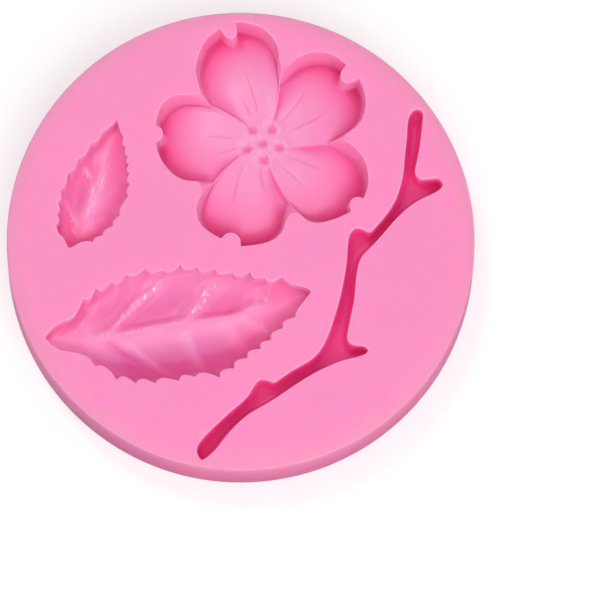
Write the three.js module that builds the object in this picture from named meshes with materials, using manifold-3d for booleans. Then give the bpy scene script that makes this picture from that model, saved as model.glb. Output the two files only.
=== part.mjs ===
// Round silicone mold for fondant: one flexible casting with four cavities in its face, for a blossom, two
// leaves and a forked branch. Millimetres, +Z up, origin in the middle of the flat underside.
// The casting is held as five regions that meet face to face: the web under the cavities, and the part of
// the face layer round each cavity. Depths are measured down from the face.
import * as THREE from 'three';
import { mergeVertices } from 'three/addons/utils/BufferGeometryUtils.js';
import Module from 'manifold-3d';

// Body
const FACE_DIAMETER = 80; // at the top of the side
const OUTLINE_DIAMETER = 80; // of the face that the outlines below are drawn for
const LAYOUT_SCALE = FACE_DIAMETER / OUTLINE_DIAMETER;
const SIDE_DRAFT = 3; // degrees by which the side leans out, down to the underside
const BASE_WEB = 5.6; // solid silicone under the face layer
const FLOOR_SKIN = 0.6; // silicone between the deepest cavity and the base web
const TOP_ROUND = 0.9; // corner between the face and the side
const BASE_ROUND = 0.5; // corner between the side and the underside
const SIDE_SEGMENTS = 128;
const CORNER_SEGMENTS = 4;
const WALL_DRAFT = 8; // degrees, so that a casting comes out of its cavity
const LID = 0.5; // height of a cavity's cutting body over the face

// Blossom, with points from its own centre
const FLOWER_CENTRE = [3.8, 16.4];
const FLOWER_DEPTH = 5.8; // under the rim of a petal
const CLEFT_DEPTH = 2.8; // between two petals
const HEART_DEPTH = 2.4; // in the middle
const CLEFT_SLOPE = 1.6; // length of the slope from the face into a cleft
const HEART_SHIFT = [0, 0.8]; // from the centre to the middle, where the creases meet
const PETAL_CURL = 4; // power by which a petal's floor falls towards its rim
const PETAL_STEP = 0.7; // step where one petal laps over the next
const PETAL_LAP = 0.4; // share of a petal's width over which that step fades
const PETAL_TWIST = 16; // degrees that a crease turns between the rim and the centre
const PETAL_RINGS = [0.88, 0.74, 0.55, 0.3]; // places of the floor's rings, as shares of the petal
const PETAL_EDGES = [ // each runs anticlockwise from a petal's notch, past a cleft, to the next notch
  [[14.4, 14.2], [12.2, 15.8], [9.7, 16.4], [6.7, 15.8], [4.9, 14.5], [3.5, 13.9],
    [2.8, 14.7], [2.7, 16.2], [2.2, 18], [0.4, 20.3], [-2.2, 21.5], [-4.8, 21.8]],
  [[-7.5, 20.6], [-9.8, 18.6], [-11.2, 15.5], [-11.6, 12.9], [-11, 10.3], [-10.9, 9.2],
    [-11.8, 8.8], [-13.6, 8.8], [-15.6, 8.5], [-17.3, 7.1], [-18.2, 5], [-18.4, 3.4]],
  [[-18.4, 0.5], [-18, -1.4], [-17, -3.4], [-15.2, -5.4], [-13.2, -6.3], [-11.3, -6.5], [-10.6, -7.3],
    [-10.4, -8.4], [-11.1, -9.8], [-11.4, -11.6], [-10.7, -13.9], [-9, -15.4], [-7.2, -16.5]],
  [[-3.9, -17.8], [-1, -17.5], [1.6, -16.7], [3.3, -15.1], [3.9, -13.3], [4.5, -12.3],
    [5.4, -11.9], [6.4, -12.3], [7.7, -13.4], [9.3, -13.7], [12, -13.1], [15.1, -11.7]],
  [[17.2, -9.5], [18, -7], [17.9, -4.5], [17, -2], [15, 0.1], [13.8, 0.9],
    [14.4, 2], [16, 3.2], [17.3, 5.2], [17.7, 7.5], [17.3, 9.8], [16.6, 11.7]],
];
const NOTCH_DEPTHS = [2.6, 1.2, 1.7, 1.4, 2.5]; // notch at the end of each of those edges
const STAMEN_COUNT = 5; // pits in a ring, besides the one in the middle
const STAMEN_RING = 2.9; // radius of that ring
const STAMEN_START = -15; // degrees
const STAMEN_DIAMETER = 1.5;
const STAMEN_DEPTH = 0.9; // below the middle's floor

// Leaves and branch, with points from the middle of the face
const LEAF_LAG = 0.8; // by how much the side veins lean towards the tip
const LEAF_RINGS = [0.72, 0.4, 0.1]; // places of the floor's rings between the rib and the edge
const LEAF_END_DEPTH = 2; // at a leaf's two ends
const TOOTH_SKEW = 0.65; // under 1, a tooth's steep side faces the leaf's tip
const LARGE_LEAF = {
  stalk: [-33.2, -17.2],
  tip: [12, -9.2],
  rib: [[-22, -16.5], [-11.4, -14.5], [-3, -13.2], [2, -10.6]],
  ribDepth: 1.6,
  hollowDepth: 3.1,
  scallop: 0.8,
  south: {
    depth: 4,
    base: [[-32, -18.5], [-30.5, -19.4], [-28.2, -19.8], [-26, -20.5]],
    teeth: [[-24.6, -22.2], [-21, -24.5], [-17.8, -25.1], [-14.5, -25.1], [-10.5, -24.7], [-7.8, -24],
      [-3.6, -24.1], [-1.1, -22.5], [1.1, -20.8], [3.4, -19.2], [5.2, -17.7], [7.2, -15.6], [9.2, -13.8]],
    end: [[9.6, -12.4], [11, -10.6]],
  },
  north: {
    depth: 1.8,
    base: [[-32, -15.7], [-30.5, -14.7], [-28.6, -13.9]],
    teeth: [[-26.7, -10.5], [-24.8, -8.7], [-22.1, -7.6], [-19.6, -6.3], [-16.2, -5.2], [-13.3, -5.6],
      [-10.3, -4.6], [-7.5, -5.2], [-4.5, -5.3], [-1.5, -6], [1.7, -5.9], [4, -6.9], [6.9, -6.8]],
    end: [[8.6, -8.1], [10.4, -8.4]],
  },
};
const SMALL_LEAF = {
  stalk: [-29.3, -1.7],
  tip: [-21.3, 20.7],
  rib: [[-26.4, 4], [-24.6, 8.5], [-23.2, 13]],
  ribDepth: 1.5,
  hollowDepth: 2.7,
  scallop: 0.45,
  south: {
    depth: 3.3,
    base: [[-28.5, -1.4], [-27.6, -0.8], [-26.3, -0.5]],
    teeth: [[-25.2, -0.7], [-23.5, 0.5], [-21.8, 2.2], [-20.7, 4], [-19.2, 7.5], [-19.1, 9.5],
      [-19.1, 11.4], [-19.2, 13], [-19.4, 14.4], [-19.8, 16.1], [-20.2, 17.7]],
    end: [[-20.9, 19.2]],
  },
  north: {
    depth: 1.8,
    base: [[-29.8, -1], [-30.2, 0], [-31.1, 0.9]],
    teeth: [[-31.6, 2.4], [-31.4, 4.3], [-31.3, 6.3], [-30.9, 8.4], [-29.6, 11.4], [-27.8, 13.9],
      [-25.7, 16.6], [-23.6, 18.6]],
    end: [[-22.3, 19.6]],
  },
};
const BRANCH_DEPTH = 4.6;
const BRANCH_DRAFT = 3.5; // degrees, less than the other walls because the channel is narrow
const BRANCH_EDGE = [ // anticlockwise from the lower end
  [-6.6, -38.1], [-5, -36.6], [-3, -33.9], [-1, -31.6], [1, -29.9], [5, -27.6], [10, -24.3], [12.5, -22.9],
  [15, -21.6], [17, -20.9], [20.8, -20.2], [21.6, -19.5], [20.9, -18.8], [18.9, -18.5], [18.1, -17.6],
  [18.6, -14], [19.3, -10.5], [19.7, -6.5], [20.5, -3.4], [22.8, -0.9], [24.5, 0.9], [26, 2.8], [28, 5],
  [30, 6.7], [33.8, 8.8], [34.4, 9.5], [33.8, 10.3], [30.8, 10.6], [29.8, 11.4], [30, 13.5], [30.5, 16],
  [31, 20], [31.1, 22], [30.6, 22.6], [29.6, 22.2], [28.8, 21.2], [28.4, 18], [28.1, 14.5], [27.8, 11.5],
  [27.2, 8.8], [26, 6], [23.3, 2], [22, 1], [20.8, 1.3], [19.8, 1.5], [18.9, 1.1], [18.3, -0.2],
  [17.9, -4], [17, -9.5], [15.8, -14.5], [14.8, -17.3], [13.5, -19.4], [12, -20.8], [8, -23.2],
  [6.5, -24.5], [5.5, -25], [4.6, -24.7], [3.5, -24.4], [2.6, -24.9], [1, -27.5], [-3, -31.3],
  [-7.2, -35.9], [-7.3, -37.2],
];

// Lines on the face along which the regions part
const BRANCH_PARTING = [[-14, -42], [-3, -27.5], [1.5, -23.2], [8, -20.5], [12, -16.5], [14.6, -9],
  [16.3, 0.5], [19.4, 3.1], [24.6, 9], [25.5, 20], [26, 42]];
const LEAF_PARTING_Y = -3.2;
const FLOWER_PARTING_X = -16.6;

const COLOURS = {
  base_web: 0xf08cb9,
  flower_cavity: 0xff95c4,
  small_leaf_cavity: 0xfc94c2,
  large_leaf_cavity: 0xfd93c2,
  branch_cavity: 0xfe97c6,
};
const ROUGHNESS = 0.5;

const wasm = await Module();
wasm.setup();

const radians = THREE.MathUtils.degToRad;
const lerp = THREE.MathUtils.lerp;
const wrap = (angle) => THREE.MathUtils.euclideanModulo(angle, 2 * Math.PI);
const distance = (a, b) => Math.hypot(b[0] - a[0], b[1] - a[1]);
const between = (a, b, share) => [lerp(a[0], b[0], share), lerp(a[1], b[1], share)];
const laidOut = (points) => points.map(([x, y]) => [x * LAYOUT_SCALE, y * LAYOUT_SCALE]);
const [FLOWER_X, FLOWER_Y] = FLOWER_CENTRE.map((place) => place * LAYOUT_SCALE);

// Points along a smooth curve through the given ones, with the same number of steps on each span.
function curve(points, steps, closed = false) {
  const knots = points.map(([x, y]) => new THREE.Vector3(x, y, 0));
  const spans = closed ? knots.length : knots.length - 1;
  const path = new THREE.CatmullRomCurve3(knots, closed, 'centripetal');
  return path.getPoints(spans * steps).slice(0, closed ? -1 : undefined).map(({ x, y }) => [x, y]);
}

// Points between two ends, set off to the left of the line by depth times a shape over 0 to 1.
function bulge(from, to, depth, shape, steps) {
  const length = distance(from, to);
  return Array.from({ length: steps - 1 }, (_, i) => {
    const share = (i + 1) / steps;
    const [x, y] = between(from, to, share);
    const out = depth * shape(share) / length;
    return [x - (to[1] - from[1]) * out, y + (to[0] - from[0]) * out];
  });
}

function solidFrom(geometry) {
  geometry.deleteAttribute('normal');
  geometry.deleteAttribute('uv');
  const merged = mergeVertices(geometry);
  const vertProperties = merged.attributes.position.array;
  const triVerts = new Uint32Array(merged.index.array);
  return new wasm.Manifold(new wasm.Mesh({ numProp: 3, vertProperties, triVerts }));
}

function geometryFrom(solid) {
  const { vertProperties, triVerts } = solid.getMesh();
  const geometry = new THREE.BufferGeometry();
  geometry.setAttribute('position', new THREE.BufferAttribute(vertProperties, 3));
  geometry.setIndex(new THREE.BufferAttribute(triVerts, 1));
  return geometry;
}

// Closed body through rings of points, from its lid down to its floor, each ring anticlockwise.
function ringSolid(rings) {
  const count = rings[0].length;
  const floor = (rings.length - 1) * count;
  const triangles = [];
  for (let start = 0; start < floor; start += count) {
    for (let i = 0; i < count; i += 1) {
      const a = start + i;
      const b = start + (i + 1) % count;
      triangles.push(a + count, b + count, b, a + count, b, a);
    }
  }
  const cap = (ring) => THREE.ShapeUtils.triangulateShape(ring.map(([x, y]) => new THREE.Vector2(x, y)), []);
  cap(rings[0]).forEach(([a, b, c]) => triangles.push(a, b, c));
  cap(rings.at(-1)).forEach(([a, b, c]) => triangles.push(floor + a, floor + c, floor + b));
  const geometry = new THREE.BufferGeometry();
  geometry.setAttribute('position', new THREE.Float32BufferAttribute(rings.flat(2), 3));
  geometry.setIndex(triangles);
  return solidFrom(geometry);
}

const wallRun = (depth) => depth * Math.tan(radians(WALL_DRAFT));

// Rings of a cavity's wall, from over the face down through its edge to its foot
const wallRings = (edge, foot, top) => [
  edge.map(([x, y]) => [x, y, top + LID]),
  edge.map(([x, y]) => [x, y, top]),
  foot,
];

// Blossom: its edge from its own centre, the share of the petal at an angle, and the depth of the floor there
function flowerEdge() {
  const round = (share) => Math.sqrt(1 - (2 * share - 1) ** 2);
  return laidOut(PETAL_EDGES.flatMap((edge, i) => {
    const next = PETAL_EDGES[(i + 1) % PETAL_EDGES.length];
    return [...curve(edge, 2), ...bulge(edge.at(-1), next[0], NOTCH_DEPTHS[i], round, 6)];
  }));
}

function petalShare(angle) {
  const nearer = (a, b) => (Math.hypot(...a) < Math.hypot(...b) ? a : b);
  const clefts = PETAL_EDGES.map((edge) => edge.reduce(nearer));
  const starts = clefts.map(([x, y]) => Math.atan2(y, x));
  const leads = starts.map((start) => wrap(angle - start));
  const petal = leads.indexOf(Math.min(...leads));
  return leads[petal] / wrap(starts[(petal + 1) % starts.length] - starts[petal]);
}

function petalDepth(reach, share) {
  const rim = lerp(CLEFT_DEPTH, FLOWER_DEPTH, Math.sqrt(Math.sin(Math.PI * share)));
  const lap = PETAL_STEP * reach * (1 - THREE.MathUtils.smoothstep(share, 0, PETAL_LAP));
  return lerp(HEART_DEPTH, rim, reach ** PETAL_CURL) - lap;
}

function flowerCore(edge, top) {
  const rays = edge.map(([x, y]) => {
    const angle = Math.atan2(y, x);
    const share = petalShare(angle);
    const slope = lerp(CLEFT_SLOPE, wallRun(FLOWER_DEPTH), Math.sqrt(Math.sin(Math.PI * share)));
    return { angle, share, foot: Math.hypot(x, y) - slope };
  });
  const floorRing = (reach) => rays.map(({ angle, share, foot }) => {
    const turned = angle - radians(PETAL_TWIST) * (1 - reach);
    const x = foot * reach * Math.cos(turned) + HEART_SHIFT[0] * (1 - reach);
    const y = foot * reach * Math.sin(turned) + HEART_SHIFT[1] * (1 - reach);
    return [x, y, top - petalDepth(reach, share)];
  });
  const rings = [...wallRings(edge, floorRing(1), top), ...PETAL_RINGS.map(floorRing)];
  return ringSolid(rings.map((ring) => ring.map(([x, y, z]) => [x + FLOWER_X, y + FLOWER_Y, z])));
}

function stamenCore(angle, ring, top) {
  const radius = STAMEN_DIAMETER / 2;
  const pit = new THREE.CylinderGeometry(radius, radius / 2, HEART_DEPTH + STAMEN_DEPTH + LID, 12);
  pit.rotateX(Math.PI / 2);
  pit.translate(
    FLOWER_X + HEART_SHIFT[0] + ring * Math.cos(angle),
    FLOWER_Y + HEART_SHIFT[1] + ring * Math.sin(angle),
    top + (LID - HEART_DEPTH - STAMEN_DEPTH) / 2,
  );
  return solidFrom(pit);
}

// Leaves: a toothed edge on each side of a rib
function leafSide({ base, teeth, end }, { stalk, tip, scallop }, side) {
  const tooth = (share) => side * Math.sin(Math.PI * share ** TOOTH_SKEW);
  const bites = teeth.slice(1).flatMap((to, i) => [...bulge(teeth[i], to, scallop, tooth, 4), to]);
  const first = curve([stalk, ...base, teeth[0]], 2);
  const last = curve([teeth.at(-1), ...end, tip], 2).slice(1);
  return [...first, ...bites, ...last];
}

const leafEdge = (leaf) => laidOut([
  ...leafSide(leaf.south, leaf, 1),
  ...leafSide(leaf.north, leaf, -1).slice(1, -1).reverse(),
]);

// A parabola through the depths at the rib, halfway out and at the edge, which meet at the leaf's two ends.
function leafDepth(leaf, side, along, out) {
  const across = leaf.ribDepth * (1 - out) * (1 - 2 * out) + leaf.hollowDepth * 4 * out * (1 - out)
    + leaf[side].depth * out * (2 * out - 1);
  return lerp(LEAF_END_DEPTH, across, Math.sqrt(Math.sin(Math.PI * along)));
}

function leafCore(leaf, top) {
  const edge = leafEdge(leaf);
  const knots = laidOut([leaf.stalk, ...leaf.rib, leaf.tip]).map(([x, y]) => new THREE.Vector2(x, y));
  const rib = new THREE.SplineCurve(knots);
  const turn = leafSide(leaf.south, leaf, 1).length - 1;
  const spokes = edge.map((point, i) => {
    const along = i <= turn ? i / turn : (edge.length - i) / (edge.length - turn);
    const side = i <= turn ? 'south' : 'north';
    const root = rib.getPoint(along - LEAF_LAG * along * (1 - along)).toArray();
    return { point, along, side, root };
  });
  const floorRing = (out) => spokes.map(({ point, along, side, root }) => {
    const depth = leafDepth(leaf, side, along, out);
    const foot = Math.max(0.5, 1 - wallRun(depth) / Math.max(distance(root, point), wallRun(depth)));
    return [...between(root, point, out * foot), top - depth];
  });
  return ringSolid([...wallRings(edge, floorRing(1), top), ...LEAF_RINGS.map(floorRing)]);
}

// Branch: a channel with a flat floor, its walls drawn in by the draft
function branchCore(edge, top) {
  const run = BRANCH_DEPTH * Math.tan(radians(BRANCH_DRAFT));
  const foot = edge.map(([x, y], i) => {
    const before = edge.at(i - 1);
    const after = edge[(i + 1) % edge.length];
    const length = distance(before, after);
    const draw = run / length;
    return [x - (after[1] - before[1]) * draw, y + (after[0] - before[0]) * draw, top - BRANCH_DEPTH];
  });
  return ringSolid(wallRings(edge, foot, top));
}

// Body of revolution about Z, from a profile of radius and height
function turned(profile) {
  const lathe = new THREE.LatheGeometry(profile.map(([r, z]) => new THREE.Vector2(r, z)), SIDE_SEGMENTS);
  return solidFrom(lathe.rotateX(Math.PI / 2));
}

// Quarter circle in the profile, from one angle on by 90 degrees
function corner(r, z, size, start) {
  return Array.from({ length: CORNER_SEGMENTS + 1 }, (_, i) => {
    const angle = radians(start + 90 * i / CORNER_SEGMENTS);
    return [r + size * Math.cos(angle), z + size * Math.sin(angle)];
  });
}

// Radius of the side at a height
const sideRadius = (z, top) => FACE_DIAMETER / 2 + (top - TOP_ROUND - z) * Math.tan(radians(SIDE_DRAFT));

const baseWeb = (top) => turned([
  [0, 0], ...corner(sideRadius(BASE_ROUND, top) - BASE_ROUND, BASE_ROUND, BASE_ROUND, -90),
  [sideRadius(BASE_WEB, top), BASE_WEB], [0, BASE_WEB],
]);

const faceLayer = (top) => turned([
  [0, BASE_WEB], [sideRadius(BASE_WEB, top), BASE_WEB],
  ...corner(FACE_DIAMETER / 2 - TOP_ROUND, top - TOP_ROUND, TOP_ROUND, 0), [0, top],
]);

// Upright body that parts the face layer along an outline
function partingBody(outline, top) {
  const shape = new THREE.Shape(outline.map(([x, y]) => new THREE.Vector2(x, y)));
  return solidFrom(new THREE.ExtrudeGeometry(shape, { depth: top + LID, bevelEnabled: false }));
}

function namedMesh(name, solid) {
  const finish = { color: COLOURS[name], roughness: ROUGHNESS, metalness: 0 };
  const mesh = new THREE.Mesh(geometryFrom(solid), new THREE.MeshStandardMaterial(finish));
  mesh.name = name;
  return mesh;
}

function buildMold() {
  const deepest = Math.max(FLOWER_DEPTH, BRANCH_DEPTH, HEART_DEPTH + STAMEN_DEPTH);
  const top = BASE_WEB + FLOOR_SKIN + deepest;

  const stamens = Array.from({ length: STAMEN_COUNT }, (_, i) => {
    const angle = radians(STAMEN_START) + 2 * Math.PI * i / STAMEN_COUNT;
    return stamenCore(angle, STAMEN_RING, top);
  });
  const branch = laidOut(curve(BRANCH_EDGE, 2, true));
  const cores = [
    flowerCore(flowerEdge(), top), stamenCore(0, 0, top), ...stamens,
    leafCore(LARGE_LEAF, top), leafCore(SMALL_LEAF, top), branchCore(branch, top),
  ];
  const face = cores.reduce((left, core) => left.subtract(core), faceLayer(top));

  const far = FACE_DIAMETER;
  const leafLine = LEAF_PARTING_Y * LAYOUT_SCALE;
  const flowerLine = FLOWER_PARTING_X * LAYOUT_SCALE;
  const branchLine = laidOut(BRANCH_PARTING.toReversed());
  const branchSide = partingBody([[far, -far], [far, far], ...branchLine], top);
  const southSide = partingBody([[-far, -far], [far, -far], [far, leafLine], [-far, leafLine]], top);
  const westSide = partingBody([[-far, -far], [flowerLine, -far], [flowerLine, far], [-far, far]], top);
  const inner = face.subtract(branchSide);
  const upper = inner.subtract(southSide);

  const mold = new THREE.Group();
  mold.add(namedMesh('base_web', baseWeb(top)));
  mold.add(namedMesh('flower_cavity', upper.subtract(westSide)));
  mold.add(namedMesh('small_leaf_cavity', upper.intersect(westSide)));
  mold.add(namedMesh('large_leaf_cavity', inner.intersect(southSide)));
  mold.add(namedMesh('branch_cavity', face.intersect(branchSide)));
  return mold;
}

export default buildMold();
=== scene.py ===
"""Round silicone mold for fondant, with a blossom, two leaves and a forked branch sunk into its face.

Everything is in metres, with Z up and the origin in the middle of the flat underside. The cavities lie
where the solids have them. Here they get their rounded lips, their relief and their finish.
"""
import math

import bmesh
import bpy
import numpy as np
from bpy.props import FloatProperty, FloatVectorProperty, IntProperty, PointerProperty
from mathutils import Matrix, Vector, noise
from mathutils.geometry import delaunay_2d_cdt


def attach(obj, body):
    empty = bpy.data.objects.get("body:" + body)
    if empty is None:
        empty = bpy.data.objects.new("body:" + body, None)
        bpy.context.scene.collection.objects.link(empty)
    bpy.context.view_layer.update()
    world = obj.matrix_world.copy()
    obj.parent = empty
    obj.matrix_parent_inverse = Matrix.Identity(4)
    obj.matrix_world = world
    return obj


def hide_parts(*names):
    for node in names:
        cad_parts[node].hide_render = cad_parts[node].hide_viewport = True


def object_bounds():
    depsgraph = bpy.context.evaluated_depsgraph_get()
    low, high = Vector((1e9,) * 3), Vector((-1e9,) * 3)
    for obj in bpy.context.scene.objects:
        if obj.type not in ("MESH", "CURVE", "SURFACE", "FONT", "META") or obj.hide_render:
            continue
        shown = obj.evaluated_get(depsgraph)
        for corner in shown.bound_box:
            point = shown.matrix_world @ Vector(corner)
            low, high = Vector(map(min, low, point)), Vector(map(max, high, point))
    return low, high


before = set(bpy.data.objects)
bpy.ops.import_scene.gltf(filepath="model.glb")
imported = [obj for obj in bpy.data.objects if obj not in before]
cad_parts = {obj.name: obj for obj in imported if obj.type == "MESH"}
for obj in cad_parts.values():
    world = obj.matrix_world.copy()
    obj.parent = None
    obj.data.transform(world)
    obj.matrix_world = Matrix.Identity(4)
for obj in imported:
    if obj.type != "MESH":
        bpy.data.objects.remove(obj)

bl_info = {
    "name": "Silicone fondant mold",
    "version": (1, 0, 0),
    "blender": (4, 5, 0),
    "location": "3D View > Sidebar > Mold",
    "description": "A round silicone mold with a blossom, two leaves and a branch in its face",
    "category": "Object",
}

CAD_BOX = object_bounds()
MM = 0.001
FOOT_RADIUS = CAD_BOX[1].x
TOP = CAD_BOX[1].z

# Outlines on the face, in millimetres. The blossom and the leaves are as the solids have them, and the
# branch's channel is up to half a millimetre wider. The blossom's points are from its own centre.
FLOWER_CENTRE = (3.8, 16.4)
PETAL_EDGES = (
    ((14.4, 14.2), (12.2, 15.8), (9.7, 16.4), (6.7, 15.8), (4.9, 14.5), (3.5, 13.9),
     (2.8, 14.7), (2.7, 16.2), (2.2, 18), (0.4, 20.3), (-2.2, 21.5), (-4.8, 21.8)),
    ((-7.5, 20.6), (-9.8, 18.6), (-11.2, 15.5), (-11.6, 12.9), (-11, 10.3), (-10.9, 9.2),
     (-11.8, 8.8), (-13.6, 8.8), (-15.6, 8.5), (-17.3, 7.1), (-18.2, 5), (-18.4, 3.4)),
    ((-18.4, 0.5), (-18, -1.4), (-17, -3.4), (-15.2, -5.4), (-13.2, -6.3), (-11.3, -6.5), (-10.6, -7.3),
     (-10.4, -8.4), (-11.1, -9.8), (-11.4, -11.6), (-10.7, -13.9), (-9, -15.4), (-7.2, -16.5)),
    ((-3.9, -17.8), (-1, -17.5), (1.6, -16.7), (3.3, -15.1), (3.9, -13.3), (4.5, -12.3),
     (5.4, -11.9), (6.4, -12.3), (7.7, -13.4), (9.3, -13.7), (12, -13.1), (15.1, -11.7)),
    ((17.2, -9.5), (18, -7), (17.9, -4.5), (17, -2), (15, 0.1), (13.8, 0.9),
     (14.4, 2), (16, 3.2), (17.3, 5.2), (17.7, 7.5), (17.3, 9.8), (16.6, 11.7)),
)
NOTCH_DEPTHS = (2.6, 1.2, 1.7, 1.4, 2.5)
PETAL_VEINS = (  # share of the petal's width, how far out the vein runs and whether it has a painted highlight beside it
    ((0.48, 0.68, 0), (0.68, 0.56, 0)),
    ((0.56, 0.64, 0), (0.84, 0.62, 0)),
    ((0.38, 0.7, 0), (0.8, 0.64, 0)),
    ((0.36, 0.62, 1), (0.69, 0.68, 0)),
    ((0.48, 0.68, 0), (0.82, 0.74, 1)),
)
# The leaves' keys are explained at the large one. Its south half is the near one, and the small leaf's is the
# right one. A share of the length counts from the stalk, and a share of the way from the rib to the edge.
LARGE_LEAF = {
    "points": 260,  # along each side
    "rings": 36,  # on the floor
    "seed": 3.0,  # of the floor's unevenness
    "stalk": (-33.2, -17.2),
    "tip": (12, -9.2),
    "rib": ((-22, -16.5), (-11.4, -14.5), (-3, -13.4), (3.2, -11.9)),
    "scallop": 0.8,  # how deep the edge swings between two teeth
    "south": (  # a plain stretch from the stalk, the points of the teeth and a plain stretch to the tip
        ((-32, -18.5), (-30.5, -19.4), (-28.2, -19.8), (-26, -20.5)),
        ((-24.6, -22.2), (-21, -24.5), (-17.8, -25.1), (-14.5, -25.1), (-10.5, -24.7), (-7.8, -24),
         (-3.6, -24.1), (-1.1, -22.5), (1.1, -20.8), (3.4, -19.2), (5.2, -17.7), (7.2, -15.6), (9.2, -13.8)),
        ((9.6, -12.4), (11, -10.6)),
    ),
    "north": (
        ((-32, -15.7), (-30.5, -14.7), (-28.6, -13.9)),
        ((-26.7, -10.5), (-24.8, -8.7), (-22.1, -7.6), (-19.6, -6.3), (-16.2, -5.2), (-13.3, -5.6),
         (-10.3, -4.6), (-7.5, -5.2), (-4.5, -5.3), (-1.5, -6), (1.7, -5.9), (4, -6.9), (6.9, -6.8)),
        ((8.6, -8.1), (10.4, -8.4)),
    ),
    "rise": (0.0, 0.25),  # shares of the length over which the floor sinks from the stalk's depth
    "near_rise": (0.1, 0.42),  # the same at the south edge
    "fall": (0.6, 1.0),  # shares of the length over which the floor runs out to the tip's depth
    "rib_fall": (0.8, 1.0),  # the same along the rib
    "near": (0.0, 0.75),  # shares of the way over which the south half sinks
    "flank": 0.17,  # share of the way over which the north half sinks where it is steep
    "line": 0.45,  # painted shade of the line beside the rib
    "pale": 0.2,  # how much painted light the rib's ridge gets
    "hollow": (0.12, 0.25, 0.76, 0.82),  # where along the length the north half is hollow
    "beside": (0.27, 0.37, 0.76, 0.82),  # where the line and the steep flank run beside the rib
    "ridge": (0.24, 0.4, 0.6, 0.9),  # where the rib has its ridge
    "tone": (1.3, 4.2),  # depths between which the painted shade deepens
    "shade": (0.85, 0.4),  # how shaded the south half and the north half are
    "stalk_tone": (0.0, 0.35),  # how much painted shade their stalk ends get
    "crest_tone": 1.2,  # how much painted light the crests of the south folds get
    # Folds are given by their shares of the length at the rib and at the edge, and their height.
    "south_folds": ((0.345, 0.4, -0.25), (0.4, 0.45, 0.22), (0.61, 0.55, 0.24), (0.75, 0.71, 0.22),
                    (0.8, 0.84, 0.18)),
    "north_folds": ((0.2, 0.3, 0.35), (0.367, 0.51, 1.0), (0.64, 0.69, 0.95), (0.8, 0.815, -0.7),
                    (0.88, 0.88, 0.6)),
}
SMALL_LEAF = {
    "points": 150,
    "rings": 26,
    "seed": 11.0,
    "stalk": (-29.3, -1.7),
    "tip": (-21.3, 20.7),
    "rib": ((-26.4, 4), (-24.6, 8.5), (-23.2, 13)),
    "scallop": 0.45,
    "south": (
        ((-28.5, -1.4), (-27.6, -0.8), (-26.3, -0.5)),
        ((-25.2, -0.7), (-23.5, 0.5), (-21.8, 2.2), (-20.7, 4), (-19.2, 7.5), (-19.1, 9.5),
         (-19.1, 11.4), (-19.2, 13), (-19.4, 14.4), (-19.8, 16.1), (-20.2, 17.7)),
        ((-20.9, 19.2),),
    ),
    "north": (
        ((-29.8, -1), (-30.2, 0), (-31.1, 0.9)),
        ((-31.6, 2.4), (-31.4, 4.3), (-31.3, 6.3), (-30.9, 8.4), (-29.6, 11.4), (-27.8, 13.9),
         (-25.7, 16.6), (-23.6, 18.6)),
        ((-22.3, 19.6),),
    ),
    "rise": (0.12, 0.5),
    "near_rise": (0.12, 0.5),
    "fall": (0.5, 1.0),
    "rib_fall": (0.5, 1.0),
    "near": (0.0, 0.8),
    "flank": 0.6,
    "line": 0.0,
    "pale": 0.6,
    "hollow": (0.1, 0.3, 0.6, 0.9),
    "beside": (0.1, 0.3, 0.6, 0.9),
    "ridge": (0.35, 0.55, 0.7, 0.95),
    "tone": (1.1, 3.5),
    "shade": (0.0, 0.35),
    "stalk_tone": (0.25, 0.3),
    "crest_tone": 0.0,
    "south_folds": ((0.35, 0.42, 0.2), (0.6, 0.64, 0.2)),
    "north_folds": ((0.27, 0.4, 0.55), (0.645, 0.68, 0.55)),
}
LEAF_SHADE = (0.15, 0.33, 0.6, 0.9)  # where along a leaf its floor lies in the shade
FOLD_WIDTHS = (2.2, 1.1)  # half widths of a fold towards the stalk and towards the tip
CREST_WIDTHS = (1.5, 0.7)  # the same of the line along its crest, which gets painted glints and painted light
BRANCH_EDGE = (
    (-6.6, -38.1), (-4.7, -36.8), (-2.6, -34.2), (-0.6, -32), (1.3, -30.4), (5.3, -28), (10.2, -24.7),
    (12.7, -23.2), (15.2, -22), (17.1, -21.2), (20.8, -20.2), (21.6, -19.5), (20.9, -18.8), (18.9, -18.5),
    (18.1, -17.6), (18.6, -14), (19.3, -10.5), (19.7, -6.5), (20.5, -3.4), (22.8, -0.9), (24.4, 0.9),
    (26, 2.8), (28.1, 4.9), (30.2, 6.5), (34, 8.5), (34.6, 9.5), (33.9, 10.4), (30.7, 10.3), (29.9, 11.4),
    (30.2, 13.5), (30.7, 16), (31.2, 20), (31.3, 22), (30.6, 22.7), (29.6, 22.3), (28.9, 21.1), (28.6, 18),
    (28.2, 14.5), (27.9, 11.5), (27.3, 8.8), (26.1, 5.9), (23.2, 2.1), (22, 1), (20.8, 1.5), (19.8, 1.7),
    (18.9, 1.1), (18.4, -0.2), (18.1, -4), (17.1, -9.5), (15.7, -14.5), (14.7, -17.2), (13.5, -19.4),
    (12.1, -20.9), (8.1, -23.3), (6.6, -24.4), (5.5, -25), (4.6, -24.7), (3.5, -24.5), (2.7, -25), (1, -27.5),
    (-3.1, -31.2), (-7.3, -35.8), (-7.3, -37.2),
)

# Fineness of the mesh
FLOWER_POINTS = 640
FLOWER_RINGS = 41
FLOWER_WALL_STEPS = 8
HEART_STEP = 0.14 * MM
LEAF_WALL_STEPS = 4
BRANCH_POINTS = 760
BRANCH_WALL_STEPS = 6
BRANCH_STEP = 0.24 * MM
RIM_POINTS = 512
RIM_RINGS = 12
LIP_STEPS = 6
LAND_WIDTH = 0.22 * MM
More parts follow.
